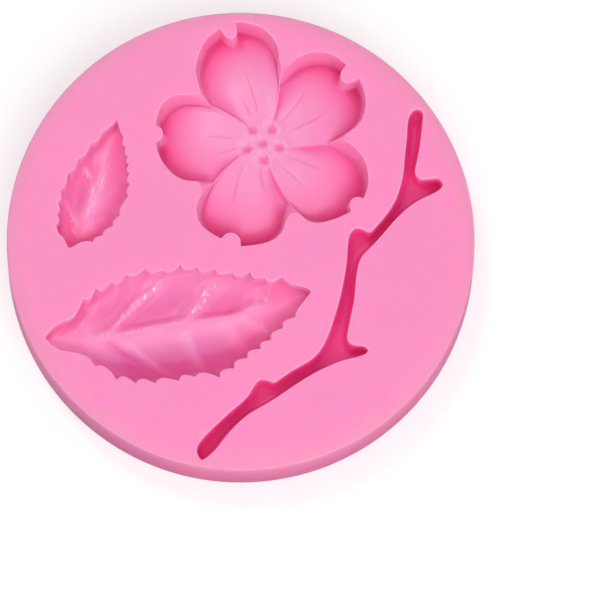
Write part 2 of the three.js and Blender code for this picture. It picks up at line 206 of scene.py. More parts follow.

# Tones of the surface as painted light and shade, from a painted highlight on its lips over the face, at 0,
# to painted shade in the deepest places
LIP_TONE = -1
# Tone of the painted glow in the branch's channel
CHANNEL_TONE = 2
SIDE_TONES = ((0, 0.0), (2, -0.3), (5, -0.05), (8, 0.65), (10, 0.85))  # ring from the face down, and its tone: a painted highlight on the rounded edge and painted shade towards the foot
DIM_TONE = 0.3  # added on the side where it turns from the light
DIM_TURN = 232  # direction of that place, in degrees
DIM_WIDTH = 20  # how far it spreads, in degrees

# Stage, in metres and degrees, with the lens and the sensor in millimetres. The camera stands on the near
# side and looks at a point of the face.
FLOOR_HALF = 1.5
FLOOR_GAP = 0.05 * MM
FLOOR_GLOW = 0.46
SKY_LIGHT = 0.62
CAMERA_LENS = 196.7
CAMERA_SENSOR = 36
CAMERA_DISTANCE = 0.56
CAMERA_ELEVATION = 78.2
CAMERA_TARGET = (0.01005, -0.0108)


def length(name, description, millimetres):
    return FloatProperty(name=name, description=description, default=millimetres * MM, unit="LENGTH",
                         precision=5)


def angle(name, description, degrees):
    return FloatProperty(name=name, description=description, default=math.radians(degrees), subtype="ANGLE")


def colour(name, description, value):
    return FloatVectorProperty(name=name, description=description, default=value, subtype="COLOR", size=3)


class MoldSizes(bpy.types.PropertyGroup):
    """Sizes of the casting"""
    face_radius: length("Face radius", "Radius of the face, at the top of the side", 40.0)
    rim_band: length("Rim band", "Width of the band over which the face rolls off to its edge", 4.2)
    rim_drop: length("Rim drop", "How far the face has fallen at its edge", 0.45)
    edge_round: length("Edge round", "Radius of the edge between the face and the side", 0.45)
    base_round: length("Base round", "Radius of the edge between the side and the underside", 0.5)
    lip_round: length("Lip round", "Radius of the edge of a cavity", 0.28)
    floor_round: length("Floor round", "Radius between a cavity's wall and its floor", 0.5)
    flower_depth: length("Blossom depth", "Depth under the rim of a petal", 5.8)
    cleft_depth: length("Cleft depth", "Depth between two petals", 2.8)
    heart_depth: length("Heart depth", "Depth in the middle of the blossom", 2.4)
    heart_radius: length("Heart radius", "Radius of the finely meshed middle of the blossom", 4.8)
    heart_shift: length("Heart shift", "How far along Y the creases meet from the blossom's centre", 0.8)
    cleft_slope: length("Cleft slope", "Length of the slope from the face into a cleft", 3.0)
    wall_draft: angle("Wall draft", "Lean of a cavity's wall", 3)
    petal_curl: FloatProperty(name="Petal curl", description="Power by which a petal falls to its rim",
                              default=4.0)
    petal_step: length("Petal step", "Step where one petal laps over the next", 0.4)
    petal_lap: FloatProperty(name="Petal lap", description="Share of a petal over which the step fades",
                             default=0.4, subtype="FACTOR")
    petal_twist: angle("Petal twist", "Turn of a crease from the rim to the middle", 16)
    petal_dip: length("Petal dip", "How much deeper a petal lies where the next one laps over it", 0.35)
    vein_depth: length("Vein depth", "Depth of a vein on a petal", 0.09)
    vein_width: length("Vein width", "Half width of a vein on a petal", 0.2)
    # The crease's width is also that of the painted shade along it
    crease_width: length("Crease width", "Width over which a crease between petals shows", 0.9)
    stamen_count: IntProperty(name="Stamens", description="Pits in a ring round the middle one", default=5)
    stamen_ring: length("Stamen ring", "Radius of the ring of pits", 2.9)
    stamen_start: angle("Stamen start", "Angle of the first pit", -15)
    stamen_radius: length("Stamen radius", "Radius of a pit with the slope round it", 1.12)
    stamen_depth: length("Stamen depth", "Depth of a pit below the floor", 0.55)
    large_rib_depth: length("Large leaf rib", "Depth of the large leaf's rib", 1.6)
    large_hollow_depth: length("Large leaf hollow", "Depth beside the large leaf's rib", 2.9)
    large_south_depth: length("Large leaf near edge", "Depth at the large leaf's near edge", 4.0)
    large_north_depth: length("Large leaf far edge", "Depth at the large leaf's far edge", 2.2)
    large_stalk_depth: length("Large leaf stalk", "Depth at the large leaf's stalk end", 1.9)
    large_tip_depth: length("Large leaf tip", "Depth at the large leaf's tip", 2.7)
    small_rib_depth: length("Small leaf rib", "Depth of the small leaf's rib", 1.5)
    small_hollow_depth: length("Small leaf hollow", "Depth beside the small leaf's rib", 2.6)
    small_south_depth: length("Small leaf right edge", "Depth at the small leaf's right edge", 2.6)
    small_north_depth: length("Small leaf left edge", "Depth at the small leaf's left edge", 2.4)
    small_stalk_depth: length("Small leaf stalk", "Depth at the small leaf's stalk end", 2.6)
    small_tip_depth: length("Small leaf tip", "Depth at the small leaf's tip", 2.4)
    branch_depth: length("Branch depth", "Depth of the branch's channel", 4.2)
    branch_round: length("Branch round", "Radius between the channel's wall and its floor", 0.9)
    branch_draft: angle("Branch draft", "Lean of the channel's wall", 2.5)


class MoldColours(bpy.types.PropertyGroup):
    """Colours of the casting and of the stage"""
    silicone: colour("Silicone", "Colour of the silicone", (0.985, 0.288, 0.545))
    silicone_pale: colour("Pale silicone", "Colour where it is a little paler", (0.99, 0.312, 0.572))
    # Painted shade and sheen on the band where the face rolls off to its edge
    painted_rim_shade_and_sheen: colour("Rim", "Colour of the rubbed rim", (0.83, 0.325, 0.515))
    # Painted highlight on the lips, the rounded edge, the crests and the middle of the blossom
    painted_highlight: colour("Lip", "Colour of the thin lip of a cavity", (0.98, 0.4, 0.64))
    # Painted shade that deepens with the depth of a cavity and down the side
    painted_deep_shade: colour("Deep silicone", "Colour in the depth of a cavity", (0.9, 0.1, 0.36))
    silicone_shade: colour("Shade", "Tint of the silicone on the shaded floor of a leaf", (0.78, 1.0, 1.0))
    # Painted glow in the branch's narrow channel
    painted_channel_glow: colour("Channel", "Colour in the narrow channel, where light glows through",
                             (0.99, 0.08, 0.37))
    # Painted glints on the crests and round the pits
    painted_glint: colour("Fleck", "Colour of the bright flecks on the crests", (1.0, 0.66, 0.83))
    speck: colour("Speck", "Colour of the few small specks in the silicone", (0.55, 0.13, 0.26))
    floor: colour("Floor", "Colour of the floor", (0.58, 0.58, 0.58))


# Lines on the face
def smooth_curve(points, steps, closed=False):
    """Points along a centripetal curve through the given ones, with the same number of steps on each span."""
    points = np.asarray(points, float)
    if closed:
        knots = np.vstack([points[-1:], points, points[:2]])
    else:
        knots = np.vstack([2 * points[:1] - points[1:2], points, 2 * points[-1:] - points[-2:-1]])
    s = np.linspace(0, 1, steps, endpoint=False)[:, None]
    line = []
    for a, b, c, d in zip(knots, knots[1:], knots[2:], knots[3:]):
        before, here, after = (np.linalg.norm(v) ** 0.5 for v in (b - a, c - b, d - c))
        start = ((b - a) / before - (c - a) / (before + here) + (c - b) / here) * here
        end = ((c - b) / here - (d - b) / (here + after) + (d - c) / after) * here
        line.append((2 * s**3 - 3 * s**2 + 1) * b + (s**3 - 2 * s**2 + s) * start
                    + (3 * s**2 - 2 * s**3) * c + (s**3 - s**2) * end)
    return np.vstack(line + ([] if closed else [points[-1:]]))


def bulge(start, end, depth, shape, steps):
    """Points between two ends, set off to the left of the line by depth times a shape over 0 to 1."""
    start, end = np.asarray(start, float), np.asarray(end, float)
    s = np.linspace(0, 1, steps + 1)[1:-1]
    left = np.array([start[1] - end[1], end[0] - start[0]]) / np.linalg.norm(end - start)
    return start + s[:, None] * (end - start) + (depth * shape(s))[:, None] * left


def even(line, count, closed):
    """The same line with its points at equal distances."""
    line = np.vstack([line, line[:1]]) if closed else line
    run = np.concatenate([[0], np.cumsum(np.linalg.norm(np.diff(line, axis=0), axis=1))])
    at = np.linspace(0, run[-1], count, endpoint=not closed)
    return np.stack([np.interp(at, run, line[:, k]) for k in range(2)], 1)


def soften(values, width, step):
    """Values round a closed loop, blurred over a width, where neighbours are a step apart."""
    waves = np.fft.fftfreq(len(values))
    blur = np.exp(-2 * (np.pi * waves * width / step) ** 2)
    blur = blur if values.ndim == 1 else blur[:, None]
    return np.fft.ifft(np.fft.fft(values, axis=0) * blur, axis=0).real


def spacing(loop):
    return np.linalg.norm(loop - np.roll(loop, 1, axis=0), axis=1).mean()


def outward(loop):
    """Unit normals of an anticlockwise loop."""
    soft = soften(loop, width=0.18 * MM, step=spacing(loop))
    along = np.roll(soft, -1, axis=0) - np.roll(soft, 1, axis=0)
    normal = np.stack([along[:, 1], -along[:, 0]], 1)
    return normal / np.linalg.norm(normal, axis=1)[:, None]


def inside(points, loop):
    """Which points lie inside a loop."""
    x, y = points[:, 0], points[:, 1]
    found = np.zeros(len(points), bool)
    for (ax, ay), (bx, by) in zip(loop, np.roll(loop, -1, axis=0)):
        crosses = (ay > y) != (by > y)
        if crosses.any():
            found ^= crosses & (x < (bx - ax) * (y - ay) / (by - ay + 1e-30) + ax)
    return found


def distance_to(points, loop):
    """Distance of each point to the nearest point of a closely stepped loop."""
    near = np.empty(len(points))
    batch = 2000
    for start in range(0, len(points), batch):
        part = points[start:start + batch]
        near[start:start + batch] = np.sqrt(((part[:, None] - loop[None]) ** 2).sum(2).min(1))
    return near


def hexagonal(loop, step, margin):
    """Evenly spread points inside a loop, no nearer to it than a margin."""
    low, high = loop.min(0), loop.max(0)
    row_height = step * 0.866
    rows = []
    for k, y in enumerate(np.arange(low[1], high[1], row_height)):
        x = np.arange(low[0] + (k % 2) * step / 2, high[0], step)
        rows.append(np.column_stack([x, np.full_like(x, y)]))
    points = np.vstack(rows)
    points = points[inside(points, loop)]
    return points[distance_to(points, loop) > margin]


def triangulate(loops, extra):
    """Points and triangles between an outer loop and the loops in it, through extra points."""
    points = np.vstack([*loops, extra]) if len(extra) else np.vstack(loops)
    edges, start = [], 0
    for loop in loops:
        n = len(loop)
        edges += [(start + i, start + (i + 1) % n) for i in range(n)]
        start += n
    given = [Vector((x, y)) for x, y in points / MM]
    whole_hull, tolerance = 0, 1e-7
    _, _, faces, origins, _, _ = delaunay_2d_cdt(given, edges, [], whole_hull, tolerance)
    triangles = np.array([[origins[i][0] for i in face] for face in faces])

    # What lies outside the outer loop or in a hole goes, and the rest is turned to face up.
    middles = points[triangles].mean(1)
    keep = inside(middles, loops[0])
    for hole in loops[1:]:
        keep &= ~inside(middles, hole)
    triangles = triangles[keep]
    a, b, c = (points[triangles[:, k]] for k in range(3))
    turn = (b[:, 0] - a[:, 0]) * (c[:, 1] - a[:, 1]) - (b[:, 1] - a[:, 1]) * (c[:, 0] - a[:, 0])
    triangles[turn < 0] = triangles[turn < 0][:, ::-1]
    return points, triangles


class Skin:
    """Points and faces of the casting's surface, gathered patch by patch. Heights are from the face.

    Each point has a tone of painted light and shade, from -1 for a painted highlight on a lip, over 0 on the
    face, to 1 for painted shade in a cavity and 2 for a painted glow in a channel. It also has a gleam, which
    is above 0 where painted glints shine on a smoother surface and below 0 where painted shade falls.
    """

    def __init__(self):
        self.points = []
        self.faces = []
        self.tones = []
        self.gleams = []
        self.count = 0

    def add(self, points, faces, tones=0.0, gleams=0.0):
        self.points.append(points)
        self.tones.append(np.broadcast_to(tones, len(points)))
        self.gleams.append(np.broadcast_to(gleams, len(points)))
        self.faces += [tuple(int(i) + self.count for i in face) for face in faces]
        self.count += len(points)

    def rings(self, rings, tones, gleams=None):
        """Closed rings with the same count of points, each inside or below the one before it."""
        n = len(rings[0])
        i = np.arange(n)
        quads = [np.stack([k * n + i, k * n + (i + 1) % n, (k + 1) * n + (i + 1) % n, (k + 1) * n + i], 1)
                 for k in range(len(rings) - 1)]
        self.add(np.vstack(rings), np.vstack(quads), np.hstack(tones), np.hstack(gleams) if gleams else 0.0)

    def patch(self, loops, extra, heights, tones=None, gleams=None):
        points, triangles = triangulate(loops, extra)
        self.add(np.column_stack([points, heights(points)]), triangles, tones(points) if tones else 0.0,
                 gleams(points) if gleams else 0.0)


def at_height(loop, z):
    return np.column_stack([loop, np.broadcast_to(z, len(loop))])


def mix(a, b, share):
    return a + (b - a) * share


def smoothstep(x, low, high):
    t = np.clip((x - low) / (high - low), 0, 1)
    return t * t * (3 - 2 * t)


def ripple(points, size, seed):
    """Smooth irregular values from about -1 to 1, over a size."""
    return np.array([noise.noise(Vector((x / size, y / size, seed))) for x, y in points])


def lip_rings(edge, round_off):
    """The outer loop of the land beside a cavity, and rings from it round the edge down to the wall."""
    r = np.broadcast_to(round_off, len(edge))
    away = outward(edge)
    land = soften(edge + away * (r + LAND_WIDTH)[:, None], LAND_WIDTH, spacing(edge))
    rings = [at_height(land, 0.0)]
    for turn in np.linspace(0, math.pi / 2, LIP_STEPS):
        rings.append(at_height(edge + away * (r * (1 - math.sin(turn)))[:, None], -r * (1 - math.cos(turn))))
    return land, rings


def wall_rings(edge, foot, foot_depth, round_off, steps, bow=0.0):
    """Rings from below the rounded edge down to the foot. A bowed wall starts and ends gently."""
    rings = []
    for s in np.linspace(0, 1, steps + 1)[1:]:
        fall = mix(s, smoothstep(s, 0, 1), bow)
        rings.append(np.column_stack([mix(edge, foot, s), -mix(round_off, foot_depth, fall)]))
    return rings


def wall_tones(rings, low, high, most):
    """Tones of a cavity's lip and wall: a painted highlight on the lip and painted shade that deepens with
    the depth.
    """
    tones = [most * smoothstep(-ring[:, 2], low, high) for ring in rings]
    # The land comes first, and the first and the last ring of the lip don't get the painted highlight.
    for tone in tones[2:LIP_STEPS]:
        tone[:] = LIP_TONE
    return tones


# Blossom
def flower_edge(notched):
    """The blossom's outline round its own centre, with or without the notches in the petals."""
    def rounded(s):
        return np.sqrt(1 - (2 * s - 1) ** 2)

    line = []
    for i, edge in enumerate(PETAL_EDGES):
        following = PETAL_EDGES[(i + 1) % len(PETAL_EDGES)]
        depth = NOTCH_DEPTHS[i] if notched else 0.0
        line += [smooth_curve(edge, steps=6), bulge(edge[-1], following[0], depth, rounded, steps=14)]
    return np.vstack(line) * MM


def petal_share(angles):
    """The petal at each angle, the share of its width there and the angle that it spans."""
    clefts = [min(edge, key=lambda p: math.hypot(*p)) for edge in PETAL_EDGES]
    starts = np.array([math.atan2(y, x) for x, y in clefts])
    spans = (np.roll(starts, -1) - starts) % (2 * math.pi)
    leads = (angles[..., None] - starts) % (2 * math.pi)
    petal = leads.argmin(-1)
    return petal, np.take_along_axis(leads, petal[..., None], -1)[..., 0] / spans[petal], spans[petal]


def petal_arch(share):
    """Rises steeply from 0 in the clefts to 1 in the middle of a petal."""
    return np.sqrt(np.sin(np.pi * np.clip(share, 0, 1)))


def petal_relief(reach, petal, share, span, radius, sizes):
    """Depth of the petals' floors, and their painted light and shade: painted shade on the veins and creases,
    a painted highlight beside some veins and painted light in the middle.
    """
    rim = mix(sizes.cleft_depth, sizes.flower_depth, petal_arch(share))
    across = span * radius * reach
    lap = sizes.petal_step * reach * (1 - smoothstep(share, 0, sizes.petal_lap))
    depth = mix(sizes.heart_depth, rim, reach**sizes.petal_curl) - lap + sizes.petal_dip * reach * share**6
    vein, beside = np.zeros((2, len(share)))
    for k, veins in enumerate(PETAL_VEINS):
        # Each vein wavers a little, and fades in from the heart and out to its end.
        for place, end, pale_side in veins:
            off = (share - place - 0.05 * np.sin(5 * reach + 2 * k)) * across
            fade = smoothstep(reach, 0.22, 0.34) * (1 - smoothstep(reach, end - 0.24, end))
            fade = np.where(petal == k, fade, 0)
            vein += fade * np.exp(-(off / sizes.vein_width)**2)
            beside += fade * pale_side * np.exp(-(off / sizes.vein_width - 1.6)**2)
    # The creases get painted shade, and the middle of the blossom painted light.
    before = np.exp(-(1 - share) * across / sizes.crease_width)
    after = np.exp(-share * across / (0.2 * sizes.crease_width))
    crease = np.maximum(before, after) * (1 - 0.6 * smoothstep(reach, 0.75, 1.0))
    pale = 0.45 * (1 - smoothstep(reach, 0.35, 0.65))
    return depth + sizes.vein_depth * vein, 0.7 * vein - beside + 0.85 * crease - pale


def sink_flower(skin, sizes):
    """Adds the blossom's cavity and gives the loop round its land."""
    centre = np.array(FLOWER_CENTRE) * MM
    shift = np.array([0, sizes.heart_shift])
    edge = even(flower_edge(notched=True), FLOWER_POINTS, closed=True)
    step = spacing(edge)
    edge = soften(edge, width=0.16 * MM, step=step)
    soft = soften(edge, width=0.3 * MM, step=step)
    angles = np.arctan2(soft[:, 1], soft[:, 0])
    petal, share, span = petal_share(angles)
    arch = petal_arch(share)
    slope = mix(sizes.cleft_slope, sizes.flower_depth * math.tan(sizes.wall_draft), arch)
    slope = soften(slope, width=0.3 * MM, step=step)
    radius = np.hypot(*soft.T) - slope
    plain = even(flower_edge(notched=False), FLOWER_POINTS, closed=True)
    plain = soften(plain, width=0.7 * MM, step=spacing(plain))
    plain_angles = np.arctan2(plain[:, 1], plain[:, 0])
    whole = np.interp(angles, plain_angles, np.hypot(*plain.T), period=2 * math.pi) - slope

    # Shares that are 1 in a cleft, on the side in the shade and at a notch
    cleft_arch, sharp_lip = 0.7, 0.08 * MM
    cleft = np.clip((cleft_arch - arch) / cleft_arch, 0, 1)
    lip = mix(sizes.lip_round, sharp_lip, cleft)
    shaded = 0.5 + 0.5 * np.cos(angles + math.radians(50))
    notch = smoothstep(1 - radius / whole, 0.03, 0.09)

    def floor_ring(reach):
        """A ring of the floor and the painted light and shade of its lines. Its depth follows the whole
        petal, without the notches.
        """
        turned = angles - sizes.petal_twist * (1 - reach)
        out = np.minimum(radius * reach / whole, 1.0)
        depth, lines = petal_relief(out, petal, share, span, radius, sizes)
        depth = depth - 0.6 * sizes.floor_round * np.clip((reach - 0.97) / 0.03, 0, 1) ** 2
        depth = soften(depth, width=0.16 * MM, step=step * max(0.2, reach.mean()))
        across = radius * reach
        place = np.stack([across * np.cos(turned), across * np.sin(turned)], 1) + (1 - reach)[:, None] * shift
        return np.column_stack([place, -depth]), lines

    # The rings lie closer together towards the rim.
    shares = np.linspace(0, 1, FLOWER_RINGS) ** 1.35
    floor = [floor_ring(mix(np.ones(len(edge)), sizes.heart_radius / radius, s)) for s in shares]
    land, rings = lip_rings(edge, lip)
    rings += wall_rings(edge, floor[0][0][:, :2], -floor[0][0][:, 2], lip, FLOWER_WALL_STEPS, cleft)
    above = len(rings)
    rings += [ring for ring, _ in floor[1:]]
    # Depths between which the painted shade deepens, on the lit and on the shaded side
    low, high = mix(2.7, 2.1, shaded) * MM, mix(6.3, 6.0, shaded) * MM
    # The walls get painted shade with their depth, and the walls of the notches a painted highlight.
    tones = wall_tones(rings[:above - 1], low, high, mix(0.45, -0.8, notch))
    tones += [smoothstep(-ring[:, 2], low, high) for ring in rings[above - 1:]]
    for k, (_, lines) in enumerate(floor[1:]):
        tones[above + k] = tones[above + k] + lines
    skin.rings([ring + np.array([*centre, 0]) for ring in rings], tones)

    heart = rings[-1]
    middle = heart[:, :2].mean(0)
    local = heart[:, :2] - middle
    turn = np.arctan2(local[:, 1], local[:, 0])

    def inward(points, values):
        """Values of the last ring at the points' angles, and the points' share of the way to that ring."""
        off = points - centre - middle
        around = np.arctan2(off[:, 1], off[:, 0])
        rim = np.interp(around, turn, np.hypot(*local.T), period=2 * math.pi)
        return np.interp(around, turn, values, period=2 * math.pi), np.clip(np.hypot(*off.T) / rim, 0, 1)

    def heart_height(points):
        height, out = inward(points, heart[:, 2])
        return mix(-sizes.heart_depth, height, out)

    def heart_tone(points):
        tone, out = inward(points, tones[-1])
        # The middle of the blossom gets painted light.
        middle_tone = -0.45
        return mix(middle_tone, tone, smoothstep(out, 0.6, 1.0))

    def heart_gleam(points):
        """A ring of painted glints on a smoother surface round each pit."""
        turns = sizes.stamen_start + np.arange(sizes.stamen_count) * 2 * math.pi / sizes.stamen_count
        pits = sizes.stamen_ring * np.stack([np.cos(turns), np.sin(turns)], 1)
        away = distance_to(points, np.vstack([pits, [[0, 0]]]) + centre + shift)
        return 0.35 * smoothstep(away, 0.85 * MM, 1.2 * MM) * (1 - smoothstep(away, 1.3 * MM, 1.8 * MM))

    loop = heart[:, :2] + centre
    extra = hexagonal(loop, HEART_STEP, margin=0.08 * MM)
    skin.patch([loop], extra, heart_height, heart_tone, heart_gleam)
    return land + centre


# Leaves
def leaf_side(leaf, side, sign):
    """One side of a leaf, from its stalk to its tip."""
    base, teeth, end = leaf[side]
    lean = 0.65

    def tooth(s):
        return sign * np.sin(np.pi * s**lean)

    line = [smooth_curve((leaf["stalk"], *base, teeth[0]), steps=8)]
    for start, stop in zip(teeth, teeth[1:]):
        line += [bulge(start, stop, leaf["scallop"], tooth, steps=12), np.array([stop])]
    line.append(smooth_curve((teeth[-1], *end, leaf["tip"]), steps=8)[1:])
    return np.vstack(line) * MM


def sink_leaf(skin, name, leaf, sizes):
    """Adds a leaf's cavity and gives the loop round its land."""
    parts = ("rib", "hollow", "south", "north", "stalk", "tip")
    rib_depth, hollow_depth, south_depth, north_depth, stalk_depth, tip_depth = (
        getattr(sizes, f"{name}_{part}_depth") for part in parts)
    count = leaf["points"]
    south = even(leaf_side(leaf, "south", 1), count + 1, closed=False)
    north = even(leaf_side(leaf, "north", -1), count + 1, closed=False)
    edge = np.vstack([south[:-1], north[:0:-1]])
    step = spacing(edge)
    edge = soften(edge, width=0.1 * MM, step=step)
    soft = soften(edge, width=0.22 * MM, step=step)
    n = len(edge)
    i = np.arange(n)
    along = np.where(i <= count, i / count, (n - i) / count)
    is_south = i <= count
    edge_depth = np.where(is_south, south_depth, north_depth)
    start = smoothstep(along, *leaf["rise"])
    fall = 1 - smoothstep(along, *leaf["fall"])
    ends = np.where(is_south, smoothstep(along, *leaf["near_rise"]), start) * fall
    rib_ends = start * (1 - smoothstep(along, *leaf["rib_fall"]))
    end_depth = mix(stalk_depth, tip_depth, along)
    rim_depth = mix(end_depth, edge_depth, ends)

    # Lines across a half slant forwards, from a root on the rib to the edge.
    rib = smooth_curve(np.array([soft[0] / MM, *leaf["rib"], soft[count] / MM]), steps=40) * MM
    slant = 0.8
    place = (along - slant * along * (1 - along)) * (len(rib) - 1)
    root = np.stack([np.interp(place, np.arange(len(rib)), rib[:, k]) for k in range(2)], 1)
    reach = np.linalg.norm(soft - root, axis=1)
    run = np.minimum(rim_depth * math.tan(sizes.wall_draft), 0.5 * reach)
    foot = soft + (root - soft) * (run / np.maximum(reach, 1e-9))[:, None]
    size = np.linalg.norm(rib[-1] - rib[0])
    whole = soften(reach, width=1.8 * MM, step=step)

    def window(low, full, last, end):
        """1 between two shares of the length, and 0 outside two others."""
        return smoothstep(along, low, full) * (1 - smoothstep(along, last, end))

    hollow = mix(north_depth, hollow_depth, window(*leaf["hollow"]))
    beside = window(*leaf["beside"])
    ridge = window(*leaf["ridge"])
    shaded = window(*LEAF_SHADE)

    def folds(places, out):
        """Height of the folds, which run from the rib and thin out to the edge, and lines along them."""
        height, crest = np.zeros((2, n))
        for at_rib, at_edge, tall in places:
            off = (along - mix(at_rib, at_edge, out)) * size
            height += tall * MM * np.exp(-(off / (np.where(off < 0, *FOLD_WIDTHS) * MM)) ** 2)
            crest += tall * np.exp(-(off / (np.where(off < 0, *CREST_WIDTHS) * MM)) ** 2)
        fade = smoothstep(out, 0.0, 0.16) * (1 - 0.75 * smoothstep(out, 0.45, 1.0))
        return height * fade, crest * smoothstep(out, 0.05, 0.2) * (1 - smoothstep(out, 0.7, 1.0))

    def floor_ring(share):
        """A ring of the floor, the painted light and shade that its lines add to the tone, and its gleam. The
        teeth leave no trace.
        """
        out = np.minimum(share * reach / whole, 1)
        near = rib_depth + (south_depth - rib_depth) * smoothstep(out, *leaf["near"])
        flank = mix(smoothstep(out, 0.0, 0.8), smoothstep(out, 0.0, leaf["flank"]), beside)
        far = rib_depth + (hollow - rib_depth) * flank
        far = far + (north_depth - hollow) * smoothstep(out, leaf["flank"] + 0.15, 1.0)
        south_height, south_crest = folds(leaf["south_folds"], out)
        north_height, north_crest = folds(leaf["north_folds"], out)
        depth = np.where(is_south, near - south_height, far - north_height)
        depth = mix(end_depth, depth, mix(rib_ends, ends, smoothstep(out, 0.0, 0.5)))
        depth = depth - 0.7 * sizes.floor_round * np.clip((share - 0.93) / 0.07, 0, 1) ** 2 * ends
        points = mix(root, foot, share)
        from_rib = out * whole

        # The crests and the ridge get painted glints on a smoother surface and are a little rough, and the
        # floor between them gets painted shade.
        gleam = np.clip(np.where(is_south, 2 * south_crest, north_crest), 0, 1)
        gleam = np.maximum(gleam, 1.5 * leaf["pale"] * ridge * np.exp(-(from_rib / (0.7 * MM)) ** 2))
        seed = leaf["seed"]
        rough = ripple(points, 2.0 * MM, seed) * 0.09 + ripple(points, 0.45 * MM, seed + 5) * 0.03 * gleam
        depth = depth + rough * MM * start * fall
        shade = smoothstep(out, 0.1, 0.4) * (1 - 0.7 * smoothstep(out, 0.5, 0.95)) * shaded
        gleam = gleam * np.where(is_south, 1 - shade, 1)
        gleam = gleam - (1 - gleam) * np.where(is_south, *leaf["shade"]) * shade

        # A line of painted shade runs beside the rib, the stalk ends get painted shade, and the near crests
        # and the ridge get painted light.
        dark = leaf["line"] * beside * np.exp(-from_rib / (0.7 * MM))
        line = np.where(is_south, -leaf["crest_tone"] * south_crest, dark)
        line = line + np.where(is_south, *leaf["stalk_tone"]) * (1 - smoothstep(along, 0.1, 0.4))
        line = line - leaf["pale"] * ridge * np.exp(-(from_rib / (1.1 * MM)) ** 2)
        return np.column_stack([points, -np.maximum(depth, 0.6 * MM)]), line, gleam

    shares = 1 - np.linspace(0, 1, leaf["rings"]) ** 1.15
    floor = [floor_ring(s) for s in shares]
    land, rings = lip_rings(edge, sizes.lip_round)
    rings += wall_rings(edge, floor[0][0][:, :2], -floor[0][0][:, 2], sizes.lip_round, LEAF_WALL_STEPS)
    above = len(rings)
    rings += [ring for ring, _, _ in floor[1:]]
    low, high = leaf["tone"]
    tones = wall_tones(rings, low * MM, high * MM, 1)
    gleams = [np.zeros(n) for _ in rings]
    for k, (_, line, gleam) in enumerate(floor[1:]):
        tones[above + k] = tones[above + k] + line
        gleams[above + k] = gleam
    skin.rings(rings, tones, gleams)
    return land


# Branch
def sink_branch(skin, sizes):
    """Adds the branch's channel and gives the loop round its land."""
    edge = even(smooth_curve(BRANCH_EDGE, steps=8, closed=True) * MM, BRANCH_POINTS, closed=True)
    step = spacing(edge)
    edge = soften(edge, width=0.1 * MM, step=step)
    soft = soften(edge, width=0.2 * MM, step=step)
    foot = soft - outward(soft) * sizes.branch_depth * math.tan(sizes.branch_draft)
    r = sizes.branch_round
    land, rings = lip_rings(edge, sizes.lip_round)
    wall_depth = np.full(len(edge), sizes.branch_depth - r)
    rings += wall_rings(edge, foot, wall_depth, sizes.lip_round, BRANCH_WALL_STEPS)
    # The channel's lip gets a painted highlight, and its wall painted shade and a painted glow that grow with
    # the depth.
    skin.rings(rings, wall_tones(rings, 0.1 * MM, 3.0 * MM, CHANNEL_TONE))

    def floor_height(points):
        rise = r * np.clip(1 - distance_to(points, foot) / r, 0, 1) ** 2
        return -sizes.branch_depth + rise

    # The channel's floor gets the painted glow all over.
    def floor_tone(points):
        return np.full(len(points), float(CHANNEL_TONE))

    skin.patch([foot], hexagonal(foot, BRANCH_STEP, margin=0.09 * MM), floor_height, floor_tone)
    return land


# Body
def close_body(skin, lands, sizes):
    """The face between the cavities, and the edge, the side and the underside."""
    turn = np.linspace(0, 2 * math.pi, RIM_POINTS, endpoint=False)
    circle = np.stack([np.cos(turn), np.sin(turn)], 1)
    face, edge, base = sizes.face_radius, sizes.edge_round, sizes.base_round
    rim = (face - edge) * circle
    band = np.linspace(face - sizes.rim_band, face - edge, RIM_RINGS + 1)[:-1]
    extra = np.vstack([radius * circle[::2] for radius in band])
    clearance = 0.18 * MM
    for land in lands:
        extra = extra[~inside(extra, land)]
        extra = extra[distance_to(extra, land) > clearance]
    skin.patch([rim, *lands], extra, lambda points: np.zeros(len(points)))

    # The edge, the side and the lower edge as radii and heights, counted from the edge of the face
    foot = FOOT_RADIUS
    base_top = base - (TOP - sizes.rim_drop)
    quarter = math.pi / 2
    profile = [(face - edge + edge * math.sin(a), -edge * (1 - math.cos(a)))
               for a in np.linspace(0, quarter, 7)]
    profile += [(mix(face, foot, s), mix(-edge, base_top, s)) for s in (0.125, 0.25, 0.375, 0.5, 1.0)]
    profile += [(foot - base + base * math.cos(a), base_top - base * math.sin(a))
                for a in np.linspace(0, quarter, 4)[1:]]
    rings = [at_height(radius * circle, z - sizes.rim_drop) for radius, z in profile]

    # The side gets painted shade that grows towards the foot, most of all where it turns from the light, and
    # a painted highlight on the rounded edge.
    order = np.arange(len(rings))
    dim = DIM_TONE * np.exp(-((turn - math.radians(DIM_TURN)) / math.radians(DIM_WIDTH)) ** 2)
    dim = np.interp(order, (2, 6), (0, 1))[:, None] * dim
    tones = np.interp(order, *zip(*SIDE_TONES))[:, None] + dim
    i = np.arange(RIM_POINTS)
    following = (i + 1) % RIM_POINTS
    quads = np.stack([i, RIM_POINTS + i, RIM_POINTS + following, following], 1)
    for k in range(len(rings) - 1):
        skin.add(np.vstack(rings[k:k + 2]), quads, np.hstack(tones[k:k + 2]), np.hstack(-2 * dim[k:k + 2]))
    centre = np.array([[0.0, 0.0, -TOP]])
    skin.add(np.vstack([rings[-1], centre]), np.stack([following, i, np.full(RIM_POINTS, RIM_POINTS)], 1),
             np.append(tones[-1], tones[-1, 0]))


def face_drop(points, sizes):
    """How far the face has rolled off at each point."""
    past = np.hypot(points[:, 0], points[:, 1]) - sizes.face_radius + sizes.rim_band
    t = np.clip(past / (sizes.rim_band - sizes.edge_round), 0, 1)
    return sizes.rim_drop * t * t


